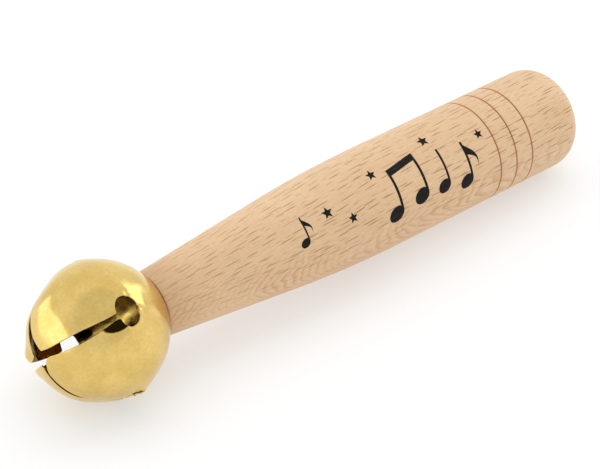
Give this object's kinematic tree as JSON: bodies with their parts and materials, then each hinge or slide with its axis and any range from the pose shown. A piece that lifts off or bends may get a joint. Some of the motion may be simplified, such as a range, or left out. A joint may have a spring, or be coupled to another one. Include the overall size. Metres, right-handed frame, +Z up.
{
  "type": "sleigh bell stick",
  "caption": "Hand percussion stick: a round sheet brass sleigh bell, cut into petals over a loose ball, screwed to a turned beech handle.",
  "frame": {"origin": "under the middle of the part's box, on the surface it lies on", "axes": "+X from the bell to the handle's free end, +Z up; the stick's own axis passes through the bell's centre and dips 1.35 degrees towards +X"},
  "size_m": [0.1734, 0.035, 0.035],
  "materials": {
    "beech": "fine sanded, clear satin",
    "brass": "polished",
    "plated_brass": "brass plated, dulled",
    "ball_steel": "polished",
    "ink": "printed, matt black"
  },
  "bodies": {
    "bell_stick": {"handle": "beech", "bell_shell": "brass", "bell_screw": "plated_brass", "screw_washer": "plated_brass"},
    "loose_ball": {"pellet": "ball_steel"}
  },
  "joints": [
    {"name": "pellet_roll", "type": "hinge", "parent": "bell_stick", "child": "loose_ball", "pos_m": [-0.06937, 0, 0.0175], "axis": [0.9997, 0, -0.0235], "continuous": true}
  ]
}
